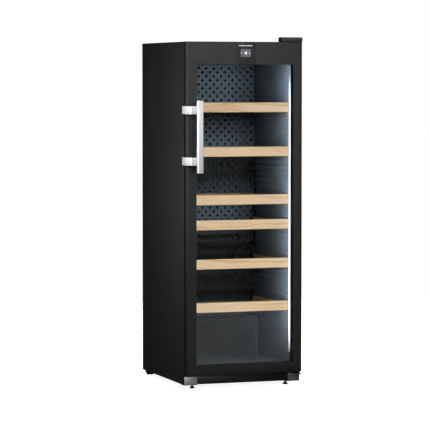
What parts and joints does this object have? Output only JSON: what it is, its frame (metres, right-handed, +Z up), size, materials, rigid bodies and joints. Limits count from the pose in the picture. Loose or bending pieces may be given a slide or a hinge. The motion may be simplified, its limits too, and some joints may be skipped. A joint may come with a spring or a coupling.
{
  "type": "wine cooler",
  "caption": "Tall free-standing wine cooler: black steel cabinet, full-height hinged glass door with lever handle, sliding beech shelves and a rear cooling circuit.",
  "frame": {"origin": "on the floor, at the middle of the bounding box's footprint", "axes": "+X to the right seen from the front, +Y from the front to the back, +Z up"},
  "size_m": [0.605, 0.764, 1.695],
  "materials": {
    "black_steel": "satin powder coat",
    "galvanised_steel": "satin",
    "bright_steel": "satin",
    "foam": "matte",
    "liner_plastic": "satin",
    "light_cover": "satin",
    "coil_aluminium": "satin",
    "black_plastic": "matte",
    "motor_enamel": "gloss",
    "copper": "satin",
    "clear_glass": "polished",
    "gasket_rubber": "matte",
    "gloss_panel": "gloss",
    "screen": "satin",
    "satin_aluminium": "satin",
    "beech": "satin"
  },
  "bodies": {
    "cabinet": {"left_side_panel": "black_steel", "right_side_panel": "black_steel", "top_panel": "black_steel", "rear_panel": "galvanised_steel", "insulation": "foam", "inner_liner": "liner_plastic", "light_column_left": "light_cover", "light_column_right": "light_cover", "air_duct_panel": "liner_plastic", "evaporator": "coil_aluminium", "fan_shroud": "black_plastic", "base_frame": "galvanised_steel", "plinth": "black_steel", "left_foot_bracket": "bright_steel", "lower_hinge_bracket": "bright_steel", "lower_hinge_pin": "bright_steel", "upper_hinge_pin": "bright_steel", "upper_hinge_bracket": "galvanised_steel", "hinge_cover": "black_plastic", "compressor": "motor_enamel", "condenser": "motor_enamel", "drip_tray": "black_plastic", "suction_line": "copper", "discharge_line": "copper", "control_box": "black_plastic", "machine_cover": "galvanised_steel", "mains_inlet": "black_plastic"},
    "door": {"door_frame": "black_steel", "outer_glass": "clear_glass", "glass_spacer": "black_plastic", "inner_glass": "clear_glass", "door_rear_frame": "black_plastic", "door_gasket": "gasket_rubber", "control_panel": "gloss_panel", "display_screen": "screen", "hinge_bush_lower": "black_plastic", "hinge_bush_upper": "black_plastic", "handle_mount_lower": "satin_aluminium", "handle_mount_upper": "satin_aluminium"},
    "handle": {"handle_lever_lower": "satin_aluminium", "handle_lever_upper": "satin_aluminium", "handle_bar": "satin_aluminium"},
    "shelf_1": {"shelf_1_front": "beech", "shelf_1_deck": "beech"},
    "shelf_2": {"shelf_2_front": "beech", "shelf_2_deck": "beech"},
    "shelf_3": {"shelf_3_front": "beech", "shelf_3_frame": "beech"},
    "shelf_4": {"shelf_4_front": "beech", "shelf_4_deck": "beech"},
    "shelf_5": {"shelf_5_front": "beech", "shelf_5_deck": "beech"},
    "shelf_6": {"shelf_6_front": "beech", "shelf_6_deck": "beech"},
    "fan": {"fan_rotor": "black_plastic"},
    "foot_left": {"front_foot_left": "black_plastic"},
    "foot_right": {"front_foot_right": "black_plastic"},
    "roller_left": {"rear_roller_left": "black_plastic"},
    "roller_right": {"rear_roller_right": "black_plastic"}
  },
  "joints": [
    {"name": "door_hinge", "type": "hinge", "parent": "cabinet", "child": "door", "pos_m": [0.2885, -0.308, 0.87], "axis": [0, 0, 1], "range_deg": [0, 115]},
    {"name": "handle_pull", "type": "hinge", "parent": "door", "child": "handle", "pos_m": [-0.2987, -0.315, 1.22275], "axis": [0, 0, -1], "range_deg": [0, 8], "stiffness_Nm_per_rad": 6},
    {"name": "shelf_1_slide", "type": "slide", "parent": "cabinet", "child": "shelf_1", "axis": [0, -1, 0], "range_m": [0, 0.022]},
    {"name": "shelf_2_slide", "type": "slide", "parent": "cabinet", "child": "shelf_2", "axis": [0, -1, 0], "range_m": [0, 0.022]},
    {"name": "shelf_3_slide", "type": "slide", "parent": "cabinet", "child": "shelf_3", "axis": [0, -1, 0], "range_m": [0, 0.022]},
    {"name": "shelf_4_slide", "type": "slide", "parent": "cabinet", "child": "shelf_4", "axis": [0, -1, 0], "range_m": [0, 0.022]},
    {"name": "shelf_5_slide", "type": "slide", "parent": "cabinet", "child": "shelf_5", "axis": [0, -1, 0], "range_m": [0, 0.022]},
    {"name": "shelf_6_slide", "type": "slide", "parent": "cabinet", "child": "shelf_6", "axis": [0, -1, 0], "range_m": [0, 0.022]},
    {"name": "fan_spin", "type": "hinge", "parent": "cabinet", "child": "fan", "pos_m": [0.004, 0.255, 1.5], "axis": [0, 1, 0], "continuous": true},
    {"name": "foot_left_screw", "type": "hinge", "parent": "cabinet", "child": "foot_left", "pos_m": [-0.2385, -0.243, 0.025], "axis": [0, 0, 1], "continuous": true},
    {"name": "foot_right_screw", "type": "hinge", "parent": "cabinet", "child": "foot_right", "pos_m": [0.2435, -0.243, 0.025], "axis": [0, 0, 1], "continuous": true},
    {"name": "roller_left_roll", "type": "hinge", "parent": "cabinet", "child": "roller_left", "pos_m": [-0.2685, 0.335, 0.021], "axis": [1, 0, 0], "continuous": true},
    {"name": "roller_right_roll", "type": "hinge", "parent": "cabinet", "child": "roller_right", "pos_m": [0.2765, 0.335, 0.021], "axis": [1, 0, 0], "continuous": true}
  ]
}
